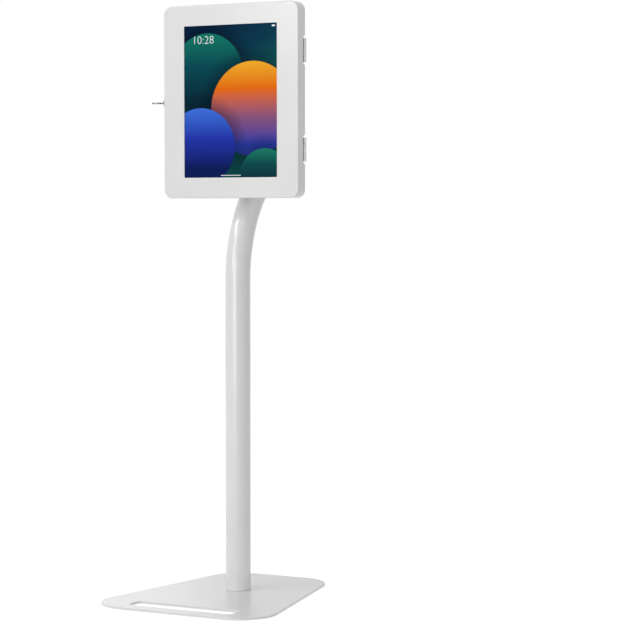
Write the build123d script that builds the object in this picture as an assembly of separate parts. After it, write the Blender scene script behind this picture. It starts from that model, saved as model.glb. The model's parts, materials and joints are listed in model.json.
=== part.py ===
"""A floor-standing tablet kiosk: a trapezoid base plate, a bent steel pole and a lockable tablet enclosure.

All sizes are in millimetres. +Z is up and the screen faces -Y.
The origin is on the floor, on the axis of the pole's straight part.
"""
from build123d import *
from math import cos, radians, sin
import os

# Driving sizes of the enclosure, taken from the photograph and the tablet's display
SCREEN_TALL = 227.1
SCREEN_WIDE = 157.8
WINDOW_CORNER = 1.5
COVER_CORNER = 13.0
COVER_EDGE = 1.8
COVER_SHEET = 1.5
COVER_END_ROOM = 20.2
HEAD_HEIGHT = 741.0
REAR_PLANE = -0.5

# Driving sizes of the stand
POLE_WIDE = 38.1
POLE_WALL = 2.0
UPPER_BEND = 76.2
BEND_TURN = 50.0
POLE_ABOVE_HEAD = 35.0
POLE_BELOW_HEAD = 64.08
BASE_FRONT_WIDE = 303.0
BASE_BACK_WIDE = 179.0
BASE_LONG = 342.0
BASE_BACK = 138.0
BASE_SHEET = 3.0
BASE_EDGE = 0.8
BASE_MAT = 1.0
MAT_INSET = 5.0
FRONT_CORNER = 55.0
BACK_CORNER = 52.0
SLOT_LONG = 170.0
SLOT_WIDE = 30.0
SLOT_CORNER = 5.0
SLOT_FROM_FRONT = 40.0

# Clearances, and the length by which every cut runs past its face
FACE_GAP = 0.2
SHAFT_GAP = 0.05
SIDE_GAP = 0.5
SLOT_GAP = 0.25
OVERRUN = 1.0

# Foot of the pole
FOOT_PLUG = 12.0
FOOT_SCREW = 3.0
FOOT_SCREW_HEAD = 5.6
FOOT_SCREW_CONE = 2.6
FOOT_SCREW_LONG = 12.0
FOOT_SCREW_CIRCLE = 9.5
FOOT_SCREWS = 3
HEX_SOCKET = 4.0
HEX_SOCKET_DEEP = 1.6

# Cap on the pole's upper end
CAP_TOP = 3.0
CAP_SKIRT = 12.0
CAP_SKIRT_WALL = 2.0
CAP_EDGE = 1.0

# Back plate of the enclosure
BACK_SHEET = 1.5
HINGE_SIDE_GAP = 1.5
BACK_FLANGE = 10.0
FLANGE_END_GAP = 3.0
LOCK_NOTCH = 24.0
CABLE_FROM_END = 52.5
CABLE_HOLE = 8.0
GROMMET_BORE = 5.5
GROMMET_RIM = 10.5
GROMMET_LIP = 1.6

# Mounting plate and its screws, on a square pattern
MOUNT_MARGIN = 9.0
MOUNT_SHEET = 3.0
MOUNT_CORNER = 12.0
MOUNT_PITCH = 100.0
MOUNT_SCREW = 2.0
MOUNT_SCREW_HEAD = 4.0
MOUNT_SCREW_DOME = 2.4
MOUNT_SOCKET = 2.5
MOUNT_SOCKET_DEEP = 1.2
MOUNT_NUT = 4.5
MOUNT_NUT_TALL = 3.2
MOUNT_HOLE_GAP = 0.1

# Swivel joint
SWIVEL_BOLT = 5.0
SWIVEL_BOLT_HEAD = 9.0
SWIVEL_HEAD_TALL = 4.0
SWIVEL_SPRING = 12.0
SWIVEL_SPRING_THICK = 1.5
SWIVEL_PAD = 25.0
SWIVEL_PAD_THICK = 1.0
SWIVEL_DISC_THICK = 5.0
SWIVEL_DISC_RIM = 5.0
SWIVEL_HOLE = 14.0
SWIVEL_PIN = 3.0
SWIVEL_PIN_GAP = 2.0
SWIVEL_TURN = 90.0

# Hardware shared by the two big bolts
NUT_FLATS = 17.0
NUT_TALL = 8.0
BOLT_TAIL = 2.0
WASHER_RADIUS = 10.0
WASHER_THICK = 1.5
BOLT_CHAMFER = 0.8

# Tilt joint
PIVOT_GAP = 10.8
LUG_SIDE_GAP = 4.0
LUG_THICK = 4.0
LUG_RIM = 4.25
LUG_SWING_GAP = 9.04
LUG_WEB_TALL = 40.0
TILT_BOLT = 5.0
TILT_HEAD_TALL = 6.4
TILT_WASHER = 9.5
TILT_WASHER_THICK = 1.5
TILT_TURN = 60.0
TILT_PIN = 2.5
TILT_PIN_GAP = 1.0
EAR_THICK = 5.0
EAR_RIM = 0.5
EAR_WEB_TALL = 56.0
EAR_REACH = 6.0
SADDLE_WALL = 7.0

# Tablet and what holds it
TABLET_END_BORDER = 10.75
TABLET_SIDE_BORDER = 10.85
TABLET_DEEP = 7.0
TABLET_CORNER = 18.0
TABLET_WALL = 1.2
GLASS_THICK = 0.8
GLASS_INSET = 0.6
GASKET_WIDE = 8.0
GASKET_THICK = 0.6
RAIL_DEEP = 9.7
RAIL_NUT_GAP = 0.5
RAIL_CLIP_GAP = 3.25
RAIL_TOP = 16.0
RAIL_END_ROOM = 24.3
RAIL_SHEET = 1.2
PAD_THICK = 2.0
PAD_WIDE = 14.0
CLIP_LEG = 28.0
CLIP_WALL = 1.5
CLIP_SHORT = 1.2

# Hinges
HINGE_LONG = 35.4
HINGE_FROM_END = 71.5
HINGE_RADIUS = 2.5
HINGE_PIN = 1.25
HINGE_LEAF = 1.2
LEAF_REACH = 17.0
LEAF_GAP = 0.3
KNUCKLE_GAP = 0.3
NOTCH_DEEP = 6.0
NOTCH_SLOPE = 4.0
NOTCH_END_GAP = 0.8
BOTH_SIDES = (-1, 1)

# Lock in the left wall
PLATE_LONG = 61.0
PLATE_WIDE = 18.0
PLATE_THICK = 1.2
PLATE_CROWN = 0.5
LOCK_COLLAR = 8.5
LOCK_NOSE = 6.6
LOCK_COLLAR_TALL = 2.8
LOCK_BARREL = 7.5
LOCK_HOLE_GAP = 0.1
LOCK_BORE = 5.5
LOCK_INSIDE = 16.3
LOCK_NUT_FLATS = 17.0
LOCK_NUT_THICK = 3.0
PLUG_NECK = 4.4
PLUG_NECK_LONG = 1.5
CAM_THICK = 2.0
CAM_HUB = 4.7
CAM_END_GAP = 0.55
CAM_WIDE = 7.0
CAM_TANG = 5.6
CAM_SCREW = 1.5
CAM_SCREW_LONG = 5.0
CAM_SCREW_HEAD = 3.4
CAM_SCREW_HEAD_TALL = 1.8
LOCK_ROOM = 2.95

# Strike that the cam turns behind
STRIKE_SHEET = 1.5
STRIKE_WIDE = 3.7
STRIKE_SIDE_GAP = 0.2
STRIKE_LIP_LOW = 5.5
STRIKE_TOP_GAP = 1.8
STRIKE_FOOT = 14.0
STRIKE_CAM_GAP = 0.35

# Key
KEY_THICK = 2.0
KEY_BLADE_WIDE = 6.0
KEY_BLADE_LONG = 14.0
KEY_SHOULDER_GAP = 0.5
KEY_STEM_WIDE = 5.0
KEY_STEM = 13.8
KEY_BOW = 8.5
KEY_EYE = 2.6
KEY_EYE_SHARE = 0.45
KEY_CUT = 1.3
KEY_CUTS = 4
KEYWAY_GAP = 0.2

# Sizes worked out from the driving sizes
TABLET_TALL = SCREEN_TALL + 2 * TABLET_END_BORDER
TABLET_WIDE = SCREEN_WIDE + 2 * TABLET_SIDE_BORDER
COVER_SIDE_ROOM = LOCK_INSIDE + PLUG_NECK_LONG + CAM_THICK + CAM_SCREW_HEAD_TALL + LOCK_ROOM
COVER_TALL = TABLET_TALL + 2 * COVER_END_ROOM
COVER_WIDE = TABLET_WIDE + 2 * COVER_SIDE_ROOM
GLASS_SETBACK = COVER_SHEET + GASKET_THICK + FACE_GAP
COVER_DEEP = GLASS_SETBACK + TABLET_DEEP + PAD_THICK + RAIL_DEEP + BACK_SHEET
CABLE_DROP = COVER_TALL / 2 - CABLE_FROM_END
BASE_FRONT = BASE_BACK - BASE_LONG
SLOT_CENTRE = BASE_FRONT + SLOT_FROM_FRONT
MOUNT_PLATE = MOUNT_PITCH + 2 * MOUNT_MARGIN
SWIVEL_PIN_CIRCLE = SWIVEL_PAD + SWIVEL_PIN + SWIVEL_PIN_GAP
SWIVEL_DISC = SWIVEL_PIN_CIRCLE + SWIVEL_PIN + SWIVEL_DISC_RIM
LUG_INSIDE = WASHER_RADIUS + LUG_SIDE_GAP
TILT_PIN_CIRCLE = TILT_WASHER + TILT_PIN + TILT_PIN_GAP
LUG_ROUND = TILT_PIN_CIRCLE + TILT_PIN + SLOT_GAP + LUG_RIM
EAR_ROUND = TILT_PIN_CIRCLE + TILT_PIN + EAR_RIM
RAIL_NEAR = MOUNT_PITCH / 2 + MOUNT_NUT + RAIL_NUT_GAP
RAIL_FAR = TABLET_WIDE / 2 + SIDE_GAP - RAIL_CLIP_GAP
RAIL_MIDDLE = (RAIL_NEAR + RAIL_FAR) / 2
RAIL_WIDE = RAIL_FAR - RAIL_NEAR
RAIL_LONG = TABLET_TALL - 2 * RAIL_END_ROOM
HINGE_SPREAD = COVER_TALL - 2 * HINGE_FROM_END

# Places worked out from the sizes
FRONT_PLANE = REAR_PLANE - COVER_DEEP
COVER_INSIDE = COVER_WIDE / 2 - COVER_SHEET
BASE_TOP = BASE_MAT + BASE_SHEET
POLE_RADIUS = POLE_WIDE / 2
POLE_BORE = POLE_RADIUS - POLE_WALL
POLE_TOP = HEAD_HEIGHT + POLE_ABOVE_HEAD
BACK_LEFT = -COVER_INSIDE + SIDE_GAP
BACK_RIGHT = COVER_INSIDE - HINGE_SIDE_GAP
BACK_MIDDLE = (BACK_LEFT + BACK_RIGHT) / 2
BACK_WIDE = BACK_RIGHT - BACK_LEFT
BACK_TALL = COVER_TALL - 2 * (COVER_SHEET + SIDE_GAP)
BACK_CORNER_ROUND = COVER_CORNER - COVER_SHEET - SIDE_GAP
BACK_FRONT = REAR_PLANE - BACK_SHEET
MOUNT_BACK = REAR_PLANE + MOUNT_SHEET
PAD_FRONT = MOUNT_BACK + FACE_GAP
DISC_FRONT = PAD_FRONT + SWIVEL_PAD_THICK
DISC_BACK = DISC_FRONT + SWIVEL_DISC_THICK
WEB_BACK = DISC_BACK + LUG_THICK
SWIVEL_TIP = WEB_BACK + WASHER_THICK + NUT_TALL + BOLT_TAIL
PIVOT_BACK = SWIVEL_TIP + PIVOT_GAP + TILT_BOLT
NECK_BACK = PIVOT_BACK + LUG_ROUND + LUG_SWING_GAP + SADDLE_WALL + POLE_RADIUS
LOWER_BEND = NECK_BACK / (1 - cos(radians(BEND_TURN))) - UPPER_BEND
BEND_START = HEAD_HEIGHT - POLE_BELOW_HEAD - (LOWER_BEND + UPPER_BEND) * sin(radians(BEND_TURN))
LUG_OUTSIDE = LUG_INSIDE + LUG_THICK
EAR_INSIDE = LUG_OUTSIDE + TILT_WASHER_THICK
EAR_OUTSIDE = EAR_INSIDE + EAR_THICK
GLASS_FRONT = FRONT_PLANE + GLASS_SETBACK
GLASS_BACK = GLASS_FRONT + GLASS_THICK
TABLET_BACK = GLASS_FRONT + TABLET_DEEP
RAIL_FRONT = TABLET_BACK + PAD_THICK
HINGE_SIDE = COVER_WIDE / 2
HINGE_BACK = BACK_FRONT
NOTCH_SPAN = HINGE_LONG / 2 + NOTCH_END_GAP
LOCK_BACK = (FRONT_PLANE + REAR_PLANE) / 2
LOCK_WALL = -COVER_WIDE / 2
COLLAR_SEAT = LOCK_WALL - PLATE_THICK
LOCK_FACE = COLLAR_SEAT - LOCK_COLLAR_TALL
BARREL_END = LOCK_WALL + LOCK_INSIDE
CAM_FRONT = BARREL_END + PLUG_NECK_LONG
CAM_BACK = CAM_FRONT + CAM_THICK
KEYWAY_LONG = KEY_BLADE_LONG - KEY_SHOULDER_GAP + KEYWAY_GAP
CAM_REACH = BACK_FRONT - LOCK_BACK - CAM_END_GAP
STRIKE_WALL_LOW = CAM_REACH + STRIKE_TOP_GAP


def facing(back, across=0, up=0):
    """A plane that looks forward, at a depth, with its middle near the panel's centre."""
    return Plane(origin=(across, back, HEAD_HEIGHT + up), x_dir=(1, 0, 0), z_dir=(0, -1, 0))


def sideways(across, back, up=0):
    """A plane that looks to +X, whose own x is depth and whose own y is height."""
    return Plane(origin=(across, back, HEAD_HEIGHT + up), x_dir=(0, 1, 0), z_dir=(1, 0, 0))


def disc(plane, radius, thick):
    """A round disc or pin that stands on a plane."""
    return extrude(plane * Circle(radius), thick)


def hexagon(flats):
    """A hexagon across its flats, with two corners on its own y axis."""
    return RegularPolygon(flats / 2, 6, major_radius=False, rotation=30)


def block(x_low, x_high, y_low, y_high, z_low, z_high):
    """A box between two corners, with heights counted from the panel's centre."""
    size = Box(x_high - x_low, y_high - y_low, z_high - z_low)
    middle = ((x_low + x_high) / 2, (y_low + y_high) / 2, HEAD_HEIGHT + (z_low + z_high) / 2)
    return Pos(*middle) * size


def arc_slot(circle, half_wide, middle, turn):
    """A slot of even width along an arc, with round ends."""
    start = radians(middle - turn / 2)
    half_way = radians(middle)
    end = radians(middle + turn / 2)
    points = [(circle * cos(a), circle * sin(a)) for a in (start, half_way, end)]
    return SlotArc(ThreePointArc(*points), 2 * half_wide)


# Stand

def base_outline(inset=0):
    """The base's trapezoid with its four round corners, seen from above."""
    front_half = BASE_FRONT_WIDE / 2
    back_half = BASE_BACK_WIDE / 2
    outline = Polygon(
        (-front_half, BASE_FRONT), (front_half, BASE_FRONT), (back_half, BASE_BACK), (-back_half, BASE_BACK),
        align=None)
    corners = outline.vertices().sort_by(Axis.Y)
    outline = fillet(corners[:2], FRONT_CORNER)
    corners = outline.vertices().sort_by(Axis.Y)
    outline = fillet(corners[-2:], BACK_CORNER)
    return offset(outline, -inset) if inset else outline


def hand_slot(margin=0):
    """The long carrying slot near the base's front edge."""
    slot = RectangleRounded(SLOT_LONG + 2 * margin, SLOT_WIDE + 2 * margin, SLOT_CORNER + margin)
    return Pos(0, SLOT_CENTRE) * slot


def foot_screw_places():
    """The screws' places on their circle under the pole."""
    return PolarLocations(FOOT_SCREW_CIRCLE, FOOT_SCREWS, start_angle=90)


def foot_screw():
    """A countersunk screw that points up, with its head's face on z = 0."""
    cone = loft([Circle(FOOT_SCREW_HEAD), Pos(0, 0, FOOT_SCREW_CONE) * Circle(FOOT_SCREW)])
    shank = extrude(Circle(FOOT_SCREW), FOOT_SCREW_LONG)
    return cone + shank


def base_plate():
    plate = extrude(base_outline() - hand_slot(), BASE_SHEET)
    plate = fillet(plate.faces().sort_by(Axis.Z)[-1].edges(), BASE_EDGE)
    plate -= [place * foot_screw() for place in foot_screw_places()]
    return Pos(0, 0, BASE_MAT) * plate


def base_mat():
    return extrude(base_outline(MAT_INSET) - hand_slot(MAT_INSET), BASE_MAT)


def base_screws():
    socket = extrude(hexagon(HEX_SOCKET), HEX_SOCKET_DEEP)
    screw = foot_screw() - socket
    return [Pos(0, 0, BASE_MAT) * place * screw for place in foot_screw_places()]


def pole_path():
    """The pole's centre line: straight, back, upright again, straight."""
    turn = radians(BEND_TURN)
    centre = (0, LOWER_BEND, BEND_START)

    def on_lower(angle):
        return (0, centre[1] - LOWER_BEND * cos(angle), centre[2] + LOWER_BEND * sin(angle))

    middle = on_lower(turn)
    upper_centre = (
        middle[1] - UPPER_BEND * cos(turn),
        middle[2] + UPPER_BEND * sin(turn))

    def on_upper(angle):
        return (0, upper_centre[0] + UPPER_BEND * cos(angle), upper_centre[1] - UPPER_BEND * sin(angle))

    start = (0, 0, BASE_TOP)
    straight_again = on_upper(0)
    return Wire([
        Edge.make_line(start, on_lower(0)),
        Edge.make_three_point_arc(on_lower(0), on_lower(turn / 2), middle),
        Edge.make_three_point_arc(middle, on_upper(turn / 2), straight_again),
        Edge.make_line(straight_again, (0, straight_again[1], POLE_TOP))])


def pole():
    ring = Pos(0, 0, BASE_TOP) * (Circle(POLE_RADIUS) - Circle(POLE_BORE))
    return sweep(ring, path=pole_path())


def pole_foot_plug():
    plug = disc(Plane.XY.offset(BASE_TOP), POLE_BORE, FOOT_PLUG)
    plug -= [Pos(0, 0, BASE_MAT) * place * foot_screw() for place in foot_screw_places()]
    return plug


def pole_cap():
    top = disc(Plane.XY.offset(POLE_TOP), POLE_RADIUS, CAP_TOP)
    top = fillet(top.faces().sort_by(Axis.Z)[-1].edges(), CAP_EDGE)
    skirt = Circle(POLE_BORE) - Circle(POLE_BORE - CAP_SKIRT_WALL)
    skirt = extrude(Plane.XY.offset(POLE_TOP - CAP_SKIRT) * skirt, CAP_SKIRT)
    return Pos(0, NECK_BACK, 0) * (top + skirt)


# Tilt joint, from the pole's yoke to the two lugs of the head

def tilt_yoke():
    """Two ears and a saddle that is coped to the pole and welded to it."""
    web_front = NECK_BACK - POLE_RADIUS - SADDLE_WALL
    web_back = NECK_BACK - EAR_REACH
    web_side = Pos((web_front + web_back) / 2 - PIVOT_BACK, 0) * Rectangle(web_back - web_front, EAR_WEB_TALL)
    ear_side = make_hull((Circle(EAR_ROUND) + web_side).edges())
    ears = extrude(sideways(EAR_INSIDE, PIVOT_BACK) * ear_side, EAR_THICK)
    ears += extrude(sideways(-EAR_OUTSIDE, PIVOT_BACK) * ear_side, EAR_THICK)
    saddle = block(-EAR_INSIDE, EAR_INSIDE, web_front, web_back, -EAR_WEB_TALL / 2, EAR_WEB_TALL / 2)
    saddle -= disc(Plane((0, NECK_BACK, HEAD_HEIGHT - EAR_WEB_TALL)), POLE_RADIUS, 2 * EAR_WEB_TALL)
    yoke = ears + saddle
    yoke -= tilt_shaft(TILT_BOLT)
    yoke -= tilt_stop_pin()
    return yoke


def tilt_shaft(radius):
    """A round bar along the tilt axis, from ear to ear and past both."""
    half = EAR_OUTSIDE + WASHER_THICK + NUT_TALL + BOLT_TAIL
    return disc(sideways(-half, PIVOT_BACK), radius, 2 * half)


def tilt_bolt():
    head_side = EAR_OUTSIDE + WASHER_THICK
    tail = head_side + NUT_TALL + BOLT_TAIL
    head = extrude(sideways(-head_side - TILT_HEAD_TALL, PIVOT_BACK) * hexagon(NUT_FLATS), TILT_HEAD_TALL)
    shank = disc(sideways(-head_side, PIVOT_BACK), TILT_BOLT, head_side + tail)
    shank = chamfer(shank.faces().sort_by(Axis.X)[-1].edges(), BOLT_CHAMFER)
    return head + shank


def tilt_nut():
    nut = hexagon(NUT_FLATS) - Circle(TILT_BOLT)
    return extrude(sideways(EAR_OUTSIDE + WASHER_THICK, PIVOT_BACK) * nut, NUT_TALL)


def tilt_washers():
    """Two steel washers outside the ears."""
    washer = Circle(WASHER_RADIUS) - Circle(TILT_BOLT)
    places = (EAR_OUTSIDE, -EAR_OUTSIDE - WASHER_THICK)
    return [extrude(sideways(place, PIVOT_BACK) * washer, WASHER_THICK) for place in places]


def tilt_friction_rings():
    """Two plastic rings between the ears and the lugs, on the ears' side."""
    ring = Circle(TILT_WASHER) - Circle(TILT_BOLT)
    thick = TILT_WASHER_THICK - FACE_GAP
    places = (LUG_OUTSIDE + FACE_GAP, -EAR_INSIDE)
    return [extrude(sideways(place, PIVOT_BACK) * ring, thick) for place in places]


def tilt_stop_pin():
    """The cross pin that ends the tilt at both limits."""
    drop = TILT_PIN_CIRCLE * sin(radians(TILT_TURN / 2))
    back = PIVOT_BACK + TILT_PIN_CIRCLE * cos(radians(TILT_TURN / 2))
    return disc(sideways(-EAR_OUTSIDE, back, -drop), TILT_PIN, 2 * EAR_OUTSIDE)


def head_bracket():
    """A U of thick sheet: a web on the swivel disc and two lugs on the tilt bolt."""
    web_near = WEB_BACK - PIVOT_BACK
    web_far = DISC_BACK - PIVOT_BACK
    web_side = Pos((web_near + web_far) / 2, 0) * Rectangle(web_near - web_far, LUG_WEB_TALL)
    lug_side = make_hull((Circle(LUG_ROUND) + web_side).edges())
    lug_side -= Circle(TILT_BOLT + SHAFT_GAP)
    lug_side -= arc_slot(TILT_PIN_CIRCLE, TILT_PIN + SLOT_GAP, 0, TILT_TURN)
    lugs = extrude(sideways(LUG_INSIDE, PIVOT_BACK) * lug_side, LUG_THICK)
    lugs += extrude(sideways(-LUG_OUTSIDE, PIVOT_BACK) * lug_side, LUG_THICK)
    web = block(-LUG_INSIDE, LUG_INSIDE, DISC_BACK, WEB_BACK, -LUG_WEB_TALL / 2, LUG_WEB_TALL / 2)
    return lugs + web - swivel_shaft(SWIVEL_BOLT)


# Swivel joint

def swivel_shaft(radius):
    """A round bar along the swivel axis, through every plate of the joint."""
    return disc(facing(PIVOT_BACK), radius, PIVOT_BACK - FRONT_PLANE)


def swivel_disc():
    sketch = Circle(SWIVEL_DISC) - Circle(SWIVEL_BOLT)
    sketch -= arc_slot(SWIVEL_PIN_CIRCLE, SWIVEL_PIN + SLOT_GAP, SWIVEL_TURN, SWIVEL_TURN)
    return extrude(facing(DISC_BACK) * sketch, SWIVEL_DISC_THICK)


def swivel_pad():
    return extrude(facing(DISC_FRONT) * (Circle(SWIVEL_PAD) - Circle(SWIVEL_BOLT)), SWIVEL_PAD_THICK)


def swivel_spring():
    """The dished spring washer under the swivel bolt's head, drawn flat."""
    ring = Circle(SWIVEL_SPRING) - Circle(SWIVEL_BOLT)
    return extrude(facing(REAR_PLANE - FACE_GAP) * ring, SWIVEL_SPRING_THICK)


def swivel_bolt():
    seat = REAR_PLANE - FACE_GAP - SWIVEL_SPRING_THICK
    head = disc(facing(seat), SWIVEL_BOLT_HEAD, SWIVEL_HEAD_TALL)
    head = chamfer(head.faces().sort_by(Axis.Y)[0].edges(), BOLT_CHAMFER)
    shank = disc(facing(SWIVEL_TIP), SWIVEL_BOLT, SWIVEL_TIP - seat)
    shank = chamfer(shank.faces().sort_by(Axis.Y)[-1].edges(), BOLT_CHAMFER)
    socket = extrude(facing(seat - SWIVEL_HEAD_TALL + HEX_SOCKET_DEEP) * hexagon(HEX_SOCKET), SWIVEL_HEAD_TALL)
    return head + shank - socket


def swivel_washer():
    return extrude(facing(WEB_BACK + WASHER_THICK) * (Circle(WASHER_RADIUS) - Circle(SWIVEL_BOLT)), WASHER_THICK)


def swivel_nut():
    back = WEB_BACK + WASHER_THICK + NUT_TALL
    return extrude(facing(back) * (hexagon(NUT_FLATS) - Circle(SWIVEL_BOLT)), NUT_TALL)


def swivel_pin_place():
    """The stop pin's place at rest, at one end of the disc's slot."""
    angle = radians(SWIVEL_TURN * 3 / 2)
    return SWIVEL_PIN_CIRCLE * cos(angle), SWIVEL_PIN_CIRCLE * sin(angle)


def swivel_stop_pin():
    return disc(facing(DISC_BACK - FACE_GAP, *swivel_pin_place()), SWIVEL_PIN, DISC_BACK - FACE_GAP - REAR_PLANE)


# Enclosure's fixed half

def mount_places():
    """The four screws' places on their square."""
    return GridLocations(MOUNT_PITCH, MOUNT_PITCH, 2, 2)


def mounting_plate():
    sketch = RectangleRounded(MOUNT_PLATE, MOUNT_PLATE, MOUNT_CORNER) - Circle(SWIVEL_BOLT + SHAFT_GAP)
    sketch -= mount_places() * Circle(MOUNT_SCREW + MOUNT_HOLE_GAP)
    sketch -= Pos(*swivel_pin_place()) * Circle(SWIVEL_PIN)
    return extrude(facing(MOUNT_BACK) * sketch, MOUNT_SHEET)


def mount_screws():
    dome = extrude(Circle(MOUNT_SCREW_HEAD), -MOUNT_SCREW_DOME)
    dome = fillet(dome.faces().sort_by(Axis.Z)[0].edges(), MOUNT_SCREW_DOME / 2)
    dome -= extrude(Pos(0, 0, -MOUNT_SCREW_DOME) * hexagon(MOUNT_SOCKET), MOUNT_SOCKET_DEEP)
    screw = dome + extrude(Circle(MOUNT_SCREW), MOUNT_SHEET + BACK_SHEET + MOUNT_NUT_TALL)
    return [facing(MOUNT_BACK) * place * screw for place in mount_places()]


def mount_nuts():
    nut = Circle(MOUNT_NUT) - Circle(MOUNT_SCREW)
    return [extrude(facing(BACK_FRONT) * place * nut, MOUNT_NUT_TALL) for place in mount_places()]


def back_plate():
    """A flat steel plate inside the cover's walls, with flanges on three sides."""
    outline = RectangleRounded(BACK_WIDE, BACK_TALL, BACK_CORNER_ROUND)
    plate = extrude(facing(REAR_PLANE, BACK_MIDDLE) * outline, BACK_SHEET)
    side_end = BACK_CORNER_ROUND + FLANGE_END_GAP
    half_tall = BACK_TALL / 2
    flange_front = BACK_FRONT - BACK_FLANGE
    plate += block(BACK_LEFT + side_end, BACK_RIGHT - side_end, flange_front, REAR_PLANE,
                   half_tall - BACK_SHEET, half_tall)
    plate += block(BACK_LEFT + side_end, BACK_RIGHT - side_end, flange_front, REAR_PLANE,
                   -half_tall, BACK_SHEET - half_tall)
    plate += block(BACK_LEFT, BACK_LEFT + BACK_SHEET, flange_front, REAR_PLANE, LOCK_NOTCH / 2, half_tall - side_end)
    plate += block(BACK_LEFT, BACK_LEFT + BACK_SHEET, flange_front, REAR_PLANE, side_end - half_tall, -LOCK_NOTCH / 2)
    holes = Circle(SWIVEL_HOLE)
    holes += mount_places() * Circle(MOUNT_SCREW + MOUNT_HOLE_GAP)
    holes += Pos(0, -CABLE_DROP) * Circle(CABLE_HOLE)
    plate -= extrude(facing(REAR_PLANE + OVERRUN) * holes, BACK_SHEET + 2 * OVERRUN)
    return plate


def cable_grommet():
    """A rubber ring that lines the cable hole and grips the sheet with two lips."""
    rim = extrude(facing(REAR_PLANE + GROMMET_LIP, 0, -CABLE_DROP) * Circle(GROMMET_RIM), GROMMET_LIP)
    rim += extrude(facing(BACK_FRONT, 0, -CABLE_DROP) * Circle(GROMMET_RIM), GROMMET_LIP)
    rim = fillet(rim.edges().filter_by(GeomType.CIRCLE), GROMMET_LIP / 3)
    sleeve_deep = BACK_SHEET + 2 * GROMMET_LIP
    sleeve = extrude(facing(REAR_PLANE + GROMMET_LIP, 0, -CABLE_DROP) * Circle(CABLE_HOLE), sleeve_deep)
    bore = disc(facing(REAR_PLANE + GROMMET_LIP, 0, -CABLE_DROP), GROMMET_BORE, sleeve_deep)
    return rim + sleeve - bore


def cradle_rails():
    """Two hat-shaped rails, welded on the back plate, that carry the tablet's pads."""
    deep = BACK_FRONT - RAIL_FRONT
    hat = Pos(0, deep / 2) * Rectangle(RAIL_TOP, deep)
    hat -= Pos(0, (deep - RAIL_SHEET) / 2) * Rectangle(RAIL_TOP - 2 * RAIL_SHEET, deep - RAIL_SHEET)
    hat += Pos(0, RAIL_SHEET / 2) * (
        Rectangle(RAIL_WIDE, RAIL_SHEET) - Rectangle(RAIL_TOP, RAIL_SHEET))
    rails = []
    for side in BOTH_SIDES:
        foot = Plane(origin=(side * RAIL_MIDDLE, BACK_FRONT, HEAD_HEIGHT - RAIL_LONG / 2),
                     x_dir=(-1, 0, 0), z_dir=(0, 0, 1))
        rails.append(extrude(foot * hat, RAIL_LONG))
    return rails


def tablet_pads():
    """Two foam strips between the rails and the tablet."""
    strip = Rectangle(PAD_WIDE, RAIL_LONG)
    return [extrude(facing(RAIL_FRONT, side * RAIL_MIDDLE) * strip, PAD_THICK) for side in BOTH_SIDES]


def corner_clips():
    """Four bent walls that hold the tablet's corners."""
    inner_round = TABLET_CORNER + SIDE_GAP
    inner = RectangleRounded(TABLET_WIDE + 2 * SIDE_GAP, TABLET_TALL + 2 * SIDE_GAP, inner_round)
    outer_wide = TABLET_WIDE + 2 * (SIDE_GAP + CLIP_WALL)
    outer_tall = TABLET_TALL + 2 * (SIDE_GAP + CLIP_WALL)
    outer = RectangleRounded(outer_wide, outer_tall, inner_round + CLIP_WALL)
    corners = GridLocations(outer_wide - CLIP_LEG, outer_tall - CLIP_LEG, 2, 2)
    deep = BACK_FRONT - GLASS_FRONT - CLIP_SHORT
    ring = outer - inner
    return [extrude(facing(BACK_FRONT) * (ring & place * Rectangle(CLIP_LEG, CLIP_LEG)), deep) for place in corners]


def strike():
    """A bent strip on the back plate whose lip stops the cam from coming forward."""
    side_low = CAM_FRONT - STRIKE_SIDE_GAP
    side_high = side_low + STRIKE_WIDE
    lip_back = LOCK_BACK - CAM_WIDE / 2 - STRIKE_CAM_GAP
    lip_front = lip_back - STRIKE_SHEET
    wall_high = STRIKE_WALL_LOW + STRIKE_SHEET
    bracket = block(side_low, side_high, lip_front, lip_back, STRIKE_LIP_LOW, wall_high)
    bracket += block(side_low, side_high, lip_front, BACK_FRONT, STRIKE_WALL_LOW, wall_high)
    bracket += block(side_low, side_high, BACK_FRONT - STRIKE_SHEET, BACK_FRONT, STRIKE_WALL_LOW,
                     STRIKE_WALL_LOW + STRIKE_FOOT)
    return bracket


# Tablet

def tablet_outline(inset=0):
    return RectangleRounded(TABLET_WIDE - 2 * inset, TABLET_TALL - 2 * inset, TABLET_CORNER - inset)


def tablet_case():
    """The tablet's metal tray."""
    tray = extrude(facing(TABLET_BACK) * tablet_outline(), TABLET_DEEP)
    tray = fillet(tray.faces().sort_by(Axis.Y)[-1].edges(), TABLET_WALL)
    hollow = extrude(facing(TABLET_BACK - TABLET_WALL) * tablet_outline(TABLET_WALL), TABLET_DEEP)
    hollow += extrude(facing(GLASS_BACK) * tablet_outline(GLASS_INSET), TABLET_DEEP)
    return tray - hollow


def tablet_core():
    """The battery and boards, as one block that fills the tray."""
    return extrude(facing(TABLET_BACK - TABLET_WALL) * tablet_outline(TABLET_WALL),
                   TABLET_BACK - TABLET_WALL - GLASS_BACK)


def tablet_glass():
    """The black border of the front glass."""
    border = tablet_outline(GLASS_INSET) - Rectangle(SCREEN_WIDE, SCREEN_TALL)
    return extrude(facing(GLASS_BACK) * border, GLASS_THICK)


def tablet_screen():
    return extrude(facing(GLASS_BACK) * Rectangle(SCREEN_WIDE, SCREEN_TALL), GLASS_THICK)


# Enclosure's cover

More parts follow.
